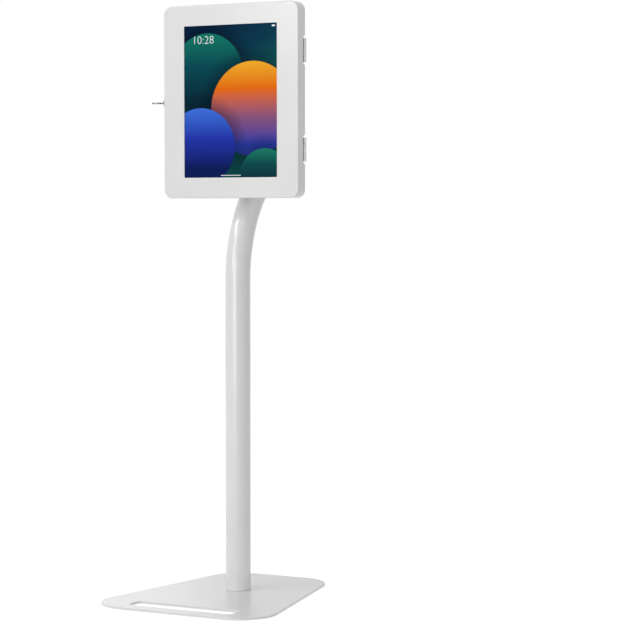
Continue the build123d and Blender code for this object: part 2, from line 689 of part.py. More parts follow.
def front_cover():
    """The steel tray with the screen's window, the lock's hole and the hinges' notches."""
    cover = extrude(facing(REAR_PLANE) * RectangleRounded(COVER_WIDE, COVER_TALL, COVER_CORNER), COVER_DEEP)
    cover = fillet(cover.faces().sort_by(Axis.Y)[0].edges(), COVER_EDGE)
    inner_wide = COVER_WIDE - 2 * COVER_SHEET
    inner_tall = COVER_TALL - 2 * COVER_SHEET
    inside = RectangleRounded(inner_wide, inner_tall, COVER_CORNER - COVER_SHEET)
    cover -= extrude(facing(REAR_PLANE + OVERRUN) * inside, COVER_DEEP + OVERRUN - COVER_SHEET)
    window = RectangleRounded(SCREEN_WIDE, SCREEN_TALL, WINDOW_CORNER)
    cover -= extrude(facing(FRONT_PLANE + COVER_SHEET + OVERRUN) * window, COVER_SHEET + 2 * OVERRUN)
    for side in BOTH_SIDES:
        cover -= hinge_notch(side * HINGE_SPREAD / 2)
    hole = disc(sideways(LOCK_WALL - OVERRUN, LOCK_BACK), LOCK_BARREL + LOCK_HOLE_GAP, COVER_SHEET + 2 * OVERRUN)
    return cover - hole


def hinge_notch(up):
    """A notch with sloped ends in the right wall's rear edge."""
    wide = NOTCH_SPAN + NOTCH_SLOPE
    sketch = Polygon((0, -wide), (OVERRUN, -wide), (OVERRUN, wide), (0, wide),
                     (-NOTCH_DEEP, NOTCH_SPAN), (-NOTCH_DEEP, -NOTCH_SPAN), align=None)
    return extrude(sideways(COVER_INSIDE - OVERRUN, REAR_PLANE, up) * sketch, COVER_SHEET + 2 * OVERRUN)


def window_gasket():
    """A thin dark felt ring between the cover and the tablet's glass."""
    outer = RectangleRounded(SCREEN_WIDE + 2 * GASKET_WIDE, SCREEN_TALL + 2 * GASKET_WIDE, GASKET_WIDE)
    ring = outer - RectangleRounded(SCREEN_WIDE, SCREEN_TALL, WINDOW_CORNER)
    return extrude(facing(FRONT_PLANE + COVER_SHEET + GASKET_THICK) * ring, GASKET_THICK)


def knuckle(up, low, high, bore):
    """One roll of a hinge between two heights that are counted from the hinge's middle."""
    foot = Plane(origin=(HINGE_SIDE, HINGE_BACK, HEAD_HEIGHT + up + low))
    return extrude(foot * (Circle(HINGE_RADIUS) - Circle(bore)), high - low)


def hinge_thirds():
    """Heights of the three knuckles of a hinge, with the running gap between them."""
    third = HINGE_LONG / 3
    start = -HINGE_LONG / 2
    return [(start + i * third + KNUCKLE_GAP / 2, start + (i + 1) * third - KNUCKLE_GAP / 2) for i in range(3)]


def hinge_frame_leaves():
    """The leaf of each hinge on the back plate, with the outer two knuckles."""
    leaves = []
    for side in BOTH_SIDES:
        up = side * HINGE_SPREAD / 2
        leaf = block(BACK_RIGHT - LEAF_REACH, BACK_RIGHT, BACK_FRONT - HINGE_LEAF, BACK_FRONT,
                     up - HINGE_LONG / 2, up + HINGE_LONG / 2)
        for low, high in (hinge_thirds()[0], hinge_thirds()[2]):
            tongue = block(BACK_RIGHT, HINGE_SIDE, BACK_FRONT - HINGE_LEAF, BACK_FRONT, up + low, up + high)
            tongue -= disc(Plane((HINGE_SIDE, HINGE_BACK, HEAD_HEIGHT + up + low)), HINGE_PIN, high - low)
            leaf += tongue + knuckle(up, low, high, HINGE_PIN)
        leaves.append(leaf)
    return leaves


def hinge_cover_leaves():
    """The leaf of each hinge on the cover's right wall, with the middle knuckle."""
    leaves = []
    low, high = hinge_thirds()[1]
    leaf_side = COVER_INSIDE - HINGE_LEAF
    leaf_back = HINGE_BACK - HINGE_RADIUS - LEAF_GAP
    for side in BOTH_SIDES:
        up = side * HINGE_SPREAD / 2
        leaf = block(leaf_side, COVER_INSIDE, leaf_back - LEAF_REACH + NOTCH_DEEP, leaf_back,
                     up - HINGE_LONG / 2, up + HINGE_LONG / 2)
        tongue = block(leaf_side, COVER_INSIDE, leaf_back, HINGE_BACK, up + low, up + high)
        leaves.append(leaf + tongue + knuckle(up, low, high, HINGE_PIN + SHAFT_GAP))
    return leaves


def hinge_pins():
    pins = []
    for side in BOTH_SIDES:
        low = side * HINGE_SPREAD / 2 - HINGE_LONG / 2
        pins.append(disc(Plane((HINGE_SIDE, HINGE_BACK, HEAD_HEIGHT + low)), HINGE_PIN, HINGE_LONG))
    return pins


# Lock and key

def lock_plate():
    """The oval stainless plate under the lock's collar, crowned towards its rim."""
    plate = extrude(sideways(COLLAR_SEAT, LOCK_BACK) * Ellipse(PLATE_WIDE / 2, PLATE_LONG / 2), PLATE_THICK)
    plate = chamfer(plate.faces().sort_by(Axis.X)[0].edges(), PLATE_CROWN)
    return plate - disc(sideways(COLLAR_SEAT - OVERRUN, LOCK_BACK), LOCK_BARREL + LOCK_HOLE_GAP,
                        PLATE_THICK + 2 * OVERRUN)


def lock_body():
    """The lock's housing: a cone-sided collar outside and a threaded barrel inside."""
    nose = sideways(LOCK_FACE, LOCK_BACK) * Circle(LOCK_NOSE)
    seat = sideways(COLLAR_SEAT, LOCK_BACK) * Circle(LOCK_COLLAR)
    collar = loft([nose, seat])
    barrel = disc(sideways(COLLAR_SEAT, LOCK_BACK), LOCK_BARREL, BARREL_END - COLLAR_SEAT)
    bore = disc(sideways(LOCK_FACE - OVERRUN, LOCK_BACK), LOCK_BORE, BARREL_END - LOCK_FACE + 2 * OVERRUN)
    return collar + barrel - bore


def lock_nut():
    nut = hexagon(LOCK_NUT_FLATS) - Circle(LOCK_BARREL)
    return extrude(sideways(-COVER_INSIDE, LOCK_BACK) * nut, LOCK_NUT_THICK)


def lock_plug():
    """The turning plug, with its keyway, its neck and the square tang for the cam."""
    plug = disc(sideways(LOCK_FACE, LOCK_BACK), LOCK_BORE - SHAFT_GAP, BARREL_END - LOCK_FACE)
    plug += disc(sideways(BARREL_END, LOCK_BACK), PLUG_NECK, PLUG_NECK_LONG)
    plug += extrude(sideways(CAM_FRONT, LOCK_BACK) * Rectangle(CAM_TANG, CAM_TANG), CAM_THICK)
    slot = Rectangle(KEY_BLADE_WIDE + 2 * KEYWAY_GAP, KEY_THICK + 2 * KEYWAY_GAP)
    plug -= extrude(sideways(LOCK_FACE - OVERRUN, LOCK_BACK) * slot, KEYWAY_LONG + OVERRUN)
    return plug - cam_screw()


def lock_cam():
    """A short tongue that points back at rest and turns up behind the strike."""
    tongue = Circle(CAM_HUB) + (Pos(CAM_REACH / 2, 0) * Rectangle(CAM_REACH, CAM_WIDE) & Circle(CAM_REACH))
    return extrude(sideways(CAM_FRONT, LOCK_BACK) * (tongue - Rectangle(CAM_TANG, CAM_TANG)), CAM_THICK)


def cam_screw():
    head = disc(sideways(CAM_BACK, LOCK_BACK), CAM_SCREW_HEAD, CAM_SCREW_HEAD_TALL)
    return head + disc(sideways(CAM_BACK - CAM_SCREW_LONG, LOCK_BACK), CAM_SCREW, CAM_SCREW_LONG)


def key():
    """A flat key with a round bow, lying level in the keyway."""
    shoulder = LOCK_FACE - KEY_SHOULDER_GAP
    bow_middle = shoulder - KEY_STEM
    outline = Pos(shoulder + KEY_BLADE_LONG / 2, 0) * Rectangle(KEY_BLADE_LONG, KEY_BLADE_WIDE)
    outline += Pos(shoulder - KEY_STEM / 2, 0) * Rectangle(KEY_STEM, KEY_STEM_WIDE)
    outline += Pos(bow_middle, 0) * Circle(KEY_BOW)
    outline -= Pos(bow_middle - KEY_BOW * KEY_EYE_SHARE, 0) * Circle(KEY_EYE)
    step = KEY_BLADE_LONG / (KEY_CUTS + 1)
    for i in range(KEY_CUTS):
        place = Pos(shoulder + (i + 1) * step, KEY_BLADE_WIDE / 2)
        outline -= place * Rot(0, 0, 45) * Rectangle(KEY_CUT, KEY_CUT)
    flat = Plane(origin=(0, LOCK_BACK, HEAD_HEIGHT - KEY_THICK / 2))
    return extrude(flat * outline, KEY_THICK)


PIECES = {
    "base_plate": base_plate,
    "base_mat": base_mat,
    "base_screws": base_screws,
    "pole": pole,
    "pole_foot_plug": pole_foot_plug,
    "pole_cap": pole_cap,
    "tilt_yoke": tilt_yoke,
    "tilt_bolt": tilt_bolt,
    "tilt_nut": tilt_nut,
    "tilt_washers": tilt_washers,
    "tilt_friction_rings": tilt_friction_rings,
    "tilt_stop_pin": tilt_stop_pin,
    "head_bracket": head_bracket,
    "swivel_disc": swivel_disc,
    "swivel_pad": swivel_pad,
    "swivel_spring": swivel_spring,
    "swivel_bolt": swivel_bolt,
    "swivel_washer": swivel_washer,
    "swivel_nut": swivel_nut,
    "swivel_stop_pin": swivel_stop_pin,
    "mounting_plate": mounting_plate,
    "mount_screws": mount_screws,
    "mount_nuts": mount_nuts,
    "back_plate": back_plate,
    "cable_grommet": cable_grommet,
    "cradle_rails": cradle_rails,
    "tablet_pads": tablet_pads,
    "corner_clips": corner_clips,
    "strike": strike,
    "tablet_case": tablet_case,
    "tablet_core": tablet_core,
    "tablet_glass": tablet_glass,
    "tablet_screen": tablet_screen,
    "front_cover": front_cover,
    "window_gasket": window_gasket,
    "hinge_frame_leaves": hinge_frame_leaves,
    "hinge_cover_leaves": hinge_cover_leaves,
    "hinge_pins": hinge_pins,
    "lock_plate": lock_plate,
    "lock_body": lock_body,
    "lock_nut": lock_nut,
    "lock_plug": lock_plug,
    "lock_cam": lock_cam,
    "cam_screw": cam_screw,
    "key": key,
}


def main():
    os.makedirs("parts", exist_ok=True)
    for name, make in PIECES.items():
        shape = make()
        if isinstance(shape, list):
            shape = Compound(children=shape)
        export_step(shape, f"parts/{name}.step")


main()
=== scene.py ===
"""Looks of the tablet kiosk stand: finishes, soft edges, pole, welds, display, studio and camera."""
from collections import namedtuple
from math import cos, pi, radians, sin, sqrt, tan
import json

import bpy
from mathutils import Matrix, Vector


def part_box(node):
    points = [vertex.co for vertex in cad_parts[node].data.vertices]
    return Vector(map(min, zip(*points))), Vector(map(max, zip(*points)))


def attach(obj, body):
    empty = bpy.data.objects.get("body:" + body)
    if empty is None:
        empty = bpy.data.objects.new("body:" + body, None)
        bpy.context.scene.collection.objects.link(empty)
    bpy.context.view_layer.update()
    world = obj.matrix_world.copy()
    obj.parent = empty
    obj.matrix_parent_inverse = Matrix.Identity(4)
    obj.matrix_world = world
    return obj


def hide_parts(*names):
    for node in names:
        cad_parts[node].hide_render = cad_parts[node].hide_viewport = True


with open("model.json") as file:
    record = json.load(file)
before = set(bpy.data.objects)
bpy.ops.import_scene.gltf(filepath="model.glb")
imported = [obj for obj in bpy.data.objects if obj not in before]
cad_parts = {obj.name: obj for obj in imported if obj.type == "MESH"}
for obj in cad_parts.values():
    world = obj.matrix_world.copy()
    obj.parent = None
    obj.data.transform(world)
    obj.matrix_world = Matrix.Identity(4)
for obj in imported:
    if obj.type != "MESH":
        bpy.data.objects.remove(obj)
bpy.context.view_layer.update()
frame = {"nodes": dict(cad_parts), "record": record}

# Everything is in metres, as the frame is
MM = 0.001

# Sides of a new round piece
ROUND_SIDES = 96

# A node's copy is merged and flattened within these, and edges that turn less than the last stay smooth
MERGE = 0.002 * MM
FLAT_ANGLE = radians(0.4)
SMOOTH_ANGLE = radians(32)

# Edges that turn more than this are sharp, and are rounded in this many steps
SHARP_ANGLE = radians(40)
EDGE_STEPS = 2

# How far large faces set the shading of the corners that they share with small ones, where 50 is evenly
LARGE_FACE_WEIGHT = 80

# Hexagons: their width over flats as a share of that over corners, the slope of the cone that cuts their
# corners, the share of the flats that it leaves at the end, the way each hexagon faces, and the turn that
# lays a cylinder that way
FLATS_SHARE = cos(radians(30))
CONE_SLOPE = tan(radians(30))
CONE_SHARE = 0.95
HEXAGON_AXIS = {"tilt_bolt": "X", "tilt_nut": "X", "swivel_nut": "Y", "lock_nut": "X"}
TURNED_TO = {"X": (0, pi / 2, 0), "Y": (pi / 2, 0, 0)}

BODY_OF = {node: body for body, nodes in frame["record"]["behaviour"]["bodies"].items() for node in nodes}
SLOT_OF = {part["node"]: part["material_slot"] for part in frame["record"]["subparts"]}


# Selecting, editing and finishing

def deselect():
    """Clears the selection, because an operator acts on all that is selected."""
    for thing in bpy.context.selected_objects:
        thing.select_set(False)


def work_on(piece):
    """Makes one piece the only selected and active one."""
    deselect()
    piece.select_set(True)
    bpy.context.view_layer.objects.active = piece


def edit_all(piece):
    """Enters edit mode on a piece with all of its mesh selected."""
    work_on(piece)
    bpy.ops.object.mode_set(mode="EDIT")
    bpy.ops.mesh.select_all(action="SELECT")


def leave_edit():
    """Goes back to object mode."""
    bpy.ops.object.mode_set(mode="OBJECT")


def apply_modifier(piece, name, kind, **settings):
    """Adds a modifier with its settings and applies it."""
    modifier = piece.modifiers.new(name, kind)
    for setting, value in settings.items():
        setattr(modifier, setting, value)
    work_on(piece)
    bpy.ops.object.modifier_apply(modifier=modifier.name)


def settle(piece, name, body, material):
    """Puts a finished piece's place into its mesh, smooths it, names it and hangs it on its body."""
    work_on(piece)
    bpy.ops.object.transform_apply(location=True, rotation=True, scale=True)
    bpy.ops.object.shade_smooth_by_angle(angle=SMOOTH_ANGLE)
    apply_modifier(piece, "even_shading", "WEIGHTED_NORMAL", weight=LARGE_FACE_WEIGHT, keep_sharp=True)
    piece.name = name
    piece.data.materials.clear()
    piece.data.materials.append(material)
    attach(piece, body)
    return piece


def copy_of_node(node):
    """A node's mesh as a new piece without the node's marks, merged to one skin with large flat faces."""
    piece = frame["nodes"][node].copy()
    piece.data = piece.data.copy()
    piece.parent = None
    bpy.context.scene.collection.objects.link(piece)
    for key in list(piece.keys()):
        del piece[key]
    edit_all(piece)
    bpy.ops.mesh.customdata_custom_splitnormals_clear()
    bpy.ops.mesh.remove_doubles(threshold=MERGE)
    bpy.ops.mesh.dissolve_limited(angle_limit=FLAT_ANGLE)
    leave_edit()
    return piece


def soft_edged(node, width, material):
    """A copy of a CAD node with its sharp edges rounded, which stands in for the node."""
    piece = copy_of_node(node)
    if node in HEXAGON_AXIS:
        turn_corners_down(piece, HEXAGON_AXIS[node])
    apply_modifier(piece, "rounded_edges", "BEVEL", width=width, segments=EDGE_STEPS, limit_method="ANGLE",
                   angle_limit=SHARP_ANGLE)
    settle(piece, node + "_finished", BODY_OF[node], material)
    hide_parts(node)
    return piece


def turn_corners_down(piece, axis):
    """Cuts the corners of a nut or bolt head to a 30 degree cone at its ends, as a lathe does."""
    low = Vector([min(point.co[i] for point in piece.data.vertices) for i in range(3)])
    high = Vector([max(point.co[i] for point in piece.data.vertices) for i in range(3)])
    size = high - low
    along = "XYZ".index(axis)
    corners = max(size[i] for i in range(3) if i != along)
    deselect()
    bpy.ops.mesh.primitive_cylinder_add(vertices=ROUND_SIDES, radius=corners / 2,
                                        depth=size[along] / CONE_SLOPE)
    tool = bpy.context.object
    cut = corners * (1 - CONE_SHARE * FLATS_SHARE) / 2
    apply_modifier(tool, "cone", "BEVEL", width=cut, segments=1, limit_method="ANGLE",
                   angle_limit=SHARP_ANGLE)
    tool.scale.z = CONE_SLOPE
    tool.rotation_euler = TURNED_TO[axis]
    tool.location = (low + high) / 2
    work_on(tool)
    bpy.ops.object.transform_apply(location=True, rotation=True, scale=True)
    apply_modifier(piece, "corners", "BOOLEAN", operation="INTERSECT", object=tool, solver="EXACT")
    bpy.data.objects.remove(tool)


# Shader nodes and colours

def linear(hex_colour):
    """An sRGB hex colour as linear red, green, blue and alpha."""
    shares = [int(hex_colour[i:i + 2], 16) / 255 for i in (1, 3, 5)]
    return tuple([c / 12.92 if c <= 0.04045 else ((c + 0.055) / 1.055) ** 2.4 for c in shares] + [1.0])


def add(tree, kind, inputs=None, stops=None, **settings):
    """Adds a node with its settings. An input given as (node, output) is linked, and any other is set."""
    node = tree.nodes.new(kind)
    for name, value in settings.items():
        setattr(node, name, value)
    for name, value in (inputs or {}).items():
        if isinstance(value, tuple) and isinstance(value[0], bpy.types.Node):
            tree.links.new(value[0].outputs[value[1]], node.inputs[name])
        else:
            node.inputs[name].default_value = value
    if stops:
        ramp = node.color_ramp
        while len(ramp.elements) < len(stops):
            ramp.elements.new(1.0)
        for element, (place, colour) in zip(ramp.elements, stops):
            element.position = place
            element.color = linear(colour)
    return node


def start_material(name, **shader_inputs):
    """A new material with its shader, and the object's own coordinates."""
    material = bpy.data.materials.new(name)
    material.use_nodes = True
    tree = material.node_tree
    shader = tree.nodes["Principled BSDF"]
    for socket, value in shader_inputs.items():
        shader.inputs[socket.replace("_", " ")].default_value = value
    place = add(tree, "ShaderNodeTexCoord"), "Object"
    return material, tree, shader, place


def link_to_shader(tree, shader, **sources):
    """Links each (node, output) to the shader's socket of that name, written with _ for a space."""
    for socket, (node, output) in sources.items():
        tree.links.new(node.outputs[output], shader.inputs[socket.replace("_", " ")])


def per_size(millimetres):
    """A texture's scale that gives spots of about this size."""
    return 1 / (millimetres * MM)


# Materials

def powder_coated_steel(name, roughness):
    """Satin polyester powder coat on steel: a neutral pale grey with the fine ripples of orange peel.

    The ripples are 2 to 3 mm wide, as real ones are. The IOR is above the usual 1.5, because the object's
    tubes show brighter highlights than 1.5 gives.
    """
    material, tree, shader, place = start_material(name, IOR=1.95)
    cloud = add(tree, "ShaderNodeTexNoise", {"Vector": place, "Scale": per_size(70), "Detail": 3.0})
    tone = add(tree, "ShaderNodeValToRGB", {"Fac": (cloud, "Fac")},
               stops=[(0.3, "#E8E8E8"), (0.7, "#ECECEB")])
    gloss = add(tree, "ShaderNodeTexNoise", {"Vector": place, "Scale": per_size(9), "Detail": 4.0})
    rough = add(tree, "ShaderNodeMapRange", {
        "Value": (gloss, "Fac"), "To Min": 0.9 * roughness, "To Max": 1.1 * roughness})
    peel = add(tree, "ShaderNodeTexNoise", {"Vector": place, "Scale": per_size(2.4), "Detail": 2.0})
    bump = add(tree, "ShaderNodeBump", {"Height": (peel, "Fac"), "Strength": 0.5, "Distance": 0.03 * MM})
    link_to_shader(tree, shader, Base_Color=(tone, "Color"), Roughness=(rough, "Result"),
                   Normal=(bump, "Normal"))
    return material


def zinc_plated_steel():
    """Bright zinc plating on pressed steel: a pale grey metal with cloudy passivation and fine scratches.

    Real scratches are under 0.1 mm wide, and are drawn 0.35 mm wide so that they show.
    """
    material, tree, shader, place = start_material("zinc_plated_steel", Metallic=1.0)
    cloud = add(tree, "ShaderNodeTexNoise", {"Vector": place, "Scale": per_size(6), "Detail": 5.0})
    tone = add(tree, "ShaderNodeValToRGB", {"Fac": (cloud, "Fac")},
               stops=[(0.3, "#B6B7BA"), (0.55, "#C8C9CA"), (0.75, "#C1C0BD")])
    rough = add(tree, "ShaderNodeMapRange", {"Value": (cloud, "Fac"), "To Min": 0.38, "To Max": 0.52})
    stretch = add(tree, "ShaderNodeMapping", {"Vector": place, "Scale": (1.0, 1.0, 0.08)})
    scratch = add(tree, "ShaderNodeTexNoise", {"Vector": (stretch, "Vector"), "Scale": per_size(0.35)})
    bump = add(tree, "ShaderNodeBump", {
        "Height": (scratch, "Fac"), "Strength": 0.12, "Distance": 0.05 * MM})
    link_to_shader(tree, shader, Base_Color=(tone, "Color"), Roughness=(rough, "Result"),
                   Normal=(bump, "Normal"))
    return material


def brushed_stainless_steel():
    """Stainless sheet brushed along its length: straight fine lines that widen the highlight.

    Real lines are about 0.1 mm apart, and are drawn 0.4 mm apart so that they show.
    """
    material, tree, shader, place = start_material("brushed_stainless_steel", Metallic=1.0)
    stretch = add(tree, "ShaderNodeMapping", {"Vector": place, "Scale": (1.0, 1.0, 0.02)})
    lines = add(tree, "ShaderNodeTexNoise", {
        "Vector": (stretch, "Vector"), "Scale": per_size(0.4), "Detail": 4.0})
    tone = add(tree, "ShaderNodeValToRGB", {"Fac": (lines, "Fac")},
               stops=[(0.3, "#A8A7A4"), (0.7, "#C9C8C5")])
    rough = add(tree, "ShaderNodeMapRange", {"Value": (lines, "Fac"), "To Min": 0.22, "To Max": 0.4})
    bump = add(tree, "ShaderNodeBump", {"Height": (lines, "Fac"), "Strength": 0.15, "Distance": 0.04 * MM})
    link_to_shader(tree, shader, Base_Color=(tone, "Color"), Roughness=(rough, "Result"),
                   Normal=(bump, "Normal"))
    return material


def nickel_plated_brass():
    """Dull nickel plating on a lock and its key: a plain grey metal, darkened in patches as painted shade.
    """
    material, tree, shader, place = start_material("nickel_plated_brass", Metallic=1.0)
    marks = add(tree, "ShaderNodeTexNoise", {"Vector": place, "Scale": per_size(3), "Detail": 6.0})
    # The darker stop is painted shade, which gives the key its dark look when it is seen edge-on
    tone = add(tree, "ShaderNodeValToRGB", {"Fac": (marks, "Fac")},
               stops=[(0.35, "#77777A"), (0.6, "#8F8F91")])
    rough = add(tree, "ShaderNodeMapRange", {"Value": (marks, "Fac"), "To Min": 0.16, "To Max": 0.38})
    bump = add(tree, "ShaderNodeBump", {"Height": (marks, "Fac"), "Strength": 0.08, "Distance": 0.05 * MM})
    link_to_shader(tree, shader, Base_Color=(tone, "Color"), Roughness=(rough, "Result"),
                   Normal=(bump, "Normal"))
    return material


def grained_plastic(name, low, high, grain, roughness):
    """Moulded plastic with a spark-eroded grain: matt, with a fine even bump.

    Real grain is 0.1 to 0.2 mm wide, and is drawn several times coarser so that it shows.
    """
    material, tree, shader, place = start_material(name, Roughness=roughness)
    grains = add(tree, "ShaderNodeTexNoise", {"Vector": place, "Scale": per_size(grain), "Detail": 3.0})
    tone = add(tree, "ShaderNodeValToRGB", {"Fac": (grains, "Fac")}, stops=[(0.3, low), (0.7, high)])
    bump = add(tree, "ShaderNodeBump", {"Height": (grains, "Fac"), "Strength": 0.3, "Distance": 0.1 * MM})
    link_to_shader(tree, shader, Base_Color=(tone, "Color"), Normal=(bump, "Normal"))
    return material


def cellular(name, low, high, cell, roughness, sheen=0.0):
    """A foam, rubber or felt surface: small cells or fibres with dark pits between them.

    Real cells and fibres are up to 0.5 mm wide, and are drawn coarser so that they show.
    """
    material, tree, shader, place = start_material(name, Roughness=roughness, Sheen_Weight=sheen)
    cells = add(tree, "ShaderNodeTexVoronoi", {"Vector": place, "Scale": per_size(cell)})
    tone = add(tree, "ShaderNodeValToRGB", {"Fac": (cells, "Distance")}, stops=[(0.1, low), (0.7, high)])
    bump = add(tree, "ShaderNodeBump", {
        "Height": (cells, "Distance"), "Strength": 0.5, "Distance": 0.15 * MM})
    link_to_shader(tree, shader, Base_Color=(tone, "Color"), Normal=(bump, "Normal"))
    return material


def blasted_aluminium():
    """Bead-blasted anodised aluminium of the tablet's shell: an even grey satin metal.

    Real bead marks are under 0.1 mm wide, and are drawn 0.4 mm wide so that they show.
    """
    material, tree, shader, place = start_material("blasted_aluminium", Metallic=1.0)
    beads = add(tree, "ShaderNodeTexNoise", {"Vector": place, "Scale": per_size(0.4), "Detail": 2.0})
    tone = add(tree, "ShaderNodeValToRGB", {"Fac": (beads, "Fac")},
               stops=[(0.3, "#9A9CA0"), (0.7, "#A8AAAE")])
    rough = add(tree, "ShaderNodeMapRange", {"Value": (beads, "Fac"), "To Min": 0.38, "To Max": 0.5})
    bump = add(tree, "ShaderNodeBump", {"Height": (beads, "Fac"), "Strength": 0.1, "Distance": 0.04 * MM})
    link_to_shader(tree, shader, Base_Color=(tone, "Color"), Roughness=(rough, "Result"),
                   Normal=(bump, "Normal"))
    return material


def black_cover_glass():
    """Cover glass printed black on its back: near black, very smooth, with faint finger smears."""
    material, tree, shader, place = start_material("black_cover_glass", Specular_IOR_Level=0.3)
    smears = add(tree, "ShaderNodeTexNoise", {"Vector": place, "Scale": per_size(25), "Detail": 4.0})
    tone = add(tree, "ShaderNodeValToRGB", {"Fac": (smears, "Fac")},
               stops=[(0.4, "#08090B"), (0.8, "#0D0E11")])
    rough = add(tree, "ShaderNodeMapRange", {"Value": (smears, "Fac"), "To Min": 0.04, "To Max": 0.14})
    link_to_shader(tree, shader, Base_Color=(tone, "Color"), Roughness=(rough, "Result"))
    return material


# Screen picture: overlapping round discs on a dusk sky. All its sizes are shares of the screen's height

SCREEN_LOW, SCREEN_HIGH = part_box("tablet_screen")
SCREEN_TALL = SCREEN_HIGH.z - SCREEN_LOW.z
SCREEN_GLOW = 0.95
UNLIT_DISPLAY = {"Roughness": 0.1, "Specular_IOR_Level": 0.02, "Base_Color": linear("#010102")}
SKY = ((0.35, "#0A5A58"), (0.6, "#04384C"), (0.9, "#02203F"))
SKY_SLANT = -0.5
NIGHT = linear("#02101E")

# A disc's middle, counted from the screen's lower left corner, its radius, and how far down from its top
# its colours run
Disc = namedtuple("Disc", "across up radius depth colours")
DISCS = (
    Disc(0.17, 0.68, 0.27, 0.42, ("#107864", "#064A54", "#042C3C")),
    Disc(0.51, 0.45, 0.31, 0.54, ("#F2AE2A", "#E66A0C", "#8A5478", "#2A3CA4")),
    Disc(0.12, 0.20, 0.26, 0.40, ("#3E70DC", "#2234A8", "#0A1C56")),
    Disc(0.60, 0.00, 0.19, 0.20, ("#1C7C66", "#0A4A4C", "#06303C")),
)
SHADE_SHARE = 0.10
SHADE_STRENGTH = 0.5
EDGE_SHARE = 0.003


def lit_screen():
    """A lit display under coated glass: it gives its own light, and hardly reflects the room."""
    material, tree, shader, place = start_material(
        "lit_screen", Emission_Strength=SCREEN_GLOW, **UNLIT_DISPLAY)
    from_corner = add(tree, "ShaderNodeMapping", {"Vector": place, "Location": tuple(-SCREEN_LOW)})
    flat = add(tree, "ShaderNodeMapping", {
        "Vector": (from_corner, "Vector"), "Scale": (1 / SCREEN_TALL, 0.0, 1 / SCREEN_TALL)})
    split = add(tree, "ShaderNodeSeparateXYZ", {"Vector": (flat, "Vector")})
    height = add(tree, "ShaderNodeMath", {0: (split, "X"), 1: SKY_SLANT, 2: (split, "Z")},
                 operation="MULTIPLY_ADD")
    sky = add(tree, "ShaderNodeValToRGB", {"Fac": (height, "Value")}, stops=SKY)
    picture = sky, "Color"
    for disc in DISCS:
        picture = disc_over(tree, flat, split, picture, disc)
    link_to_shader(tree, shader, Emission_Color=picture)
    return material


def disc_over(tree, flat, split, picture, disc):
    """Lays one disc, and the soft shade round it, over the picture so far."""
    reach = add(tree, "ShaderNodeVectorMath", {0: (flat, "Vector"), 1: (disc.across, 0.0, disc.up)},
                operation="DISTANCE")
    inside = add(tree, "ShaderNodeMath", {0: disc.radius, 1: (reach, "Value")}, operation="SUBTRACT")
    shade = add(tree, "ShaderNodeMapRange", {
        "Value": (inside, "Value"), "From Min": -SHADE_SHARE, "From Max": 0.0, "To Max": SHADE_STRENGTH})
    shaded = add(tree, "ShaderNodeMix", {0: (shade, "Result"), 6: picture, 7: NIGHT}, data_type="RGBA")
    drop = add(tree, "ShaderNodeMath", {0: disc.up + disc.radius, 1: (split, "Z")}, operation="SUBTRACT")
    deep = add(tree, "ShaderNodeMapRange", {
        "Value": (drop, "Value"), "From Min": 0.0, "From Max": disc.depth})
    last = len(disc.colours) - 1
    paint = add(tree, "ShaderNodeValToRGB", {"Fac": (deep, "Result")},
                stops=[(i / last, colour) for i, colour in enumerate(disc.colours)])
    edge = add(tree, "ShaderNodeMapRange", {
        "Value": (inside, "Value"), "From Min": 0.0, "From Max": EDGE_SHARE})
    laid = add(tree, "ShaderNodeMix", {0: (edge, "Result"), 6: (shaded, 2), 7: (paint, "Color")},
               data_type="RGBA")
    return laid, 2


def lit_figures():
    """White figures on the display, a little dimmed, as thin strokes look."""
    material, *_ = start_material(
        "lit_figures", Emission_Strength=SCREEN_GLOW, Emission_Color=linear("#F2F5F7"), **UNLIT_DISPLAY)
    return material


# The finish of each of the record's slots. The plate on the floor is trodden on, so its coat is duller

COAT_ROUGHNESS = 0.2
WORN_COAT_ROUGHNESS = 0.32
MATERIALS = {
    "white_powder_coat": powder_coated_steel("powder_coated_steel", COAT_ROUGHNESS),
    "zinc_plated_steel": zinc_plated_steel(),
    "stainless_steel": brushed_stainless_steel(),
    "nickel_plated_brass": nickel_plated_brass(),
    "black_plastic": grained_plastic("moulded_black_polyamide", "#17181A", "#222326", 0.5, 0.55),
    "natural_nylon": grained_plastic("natural_nylon", "#DAD7CB", "#E6E3D8", 0.8, 0.5),
    "black_rubber": cellular("moulded_rubber", "#121212", "#1E1E1E", 1.0, 0.75),
    "grey_foam": cellular("closed_cell_foam", "#2B2C2E", "#3E4043", 0.9, 0.95),
    "dark_felt": cellular("pressed_felt", "#141416", "#26262A", 0.6, 1.0, 0.3),
    "tablet_alloy": blasted_aluminium(),
    "tablet_internals": grained_plastic("battery_wrap", "#15161A", "#202126", 2.0, 0.5),
    "black_glass_border": black_cover_glass(),
    "lit_screen": lit_screen(),
}
FIGURES = lit_figures()
FLOOR_PLATE_COAT = powder_coated_steel("trodden_powder_coat", WORN_COAT_ROUGHNESS)

# CAD nodes take their finish, and those with cut or turned edges get them rounded, by widths in mm

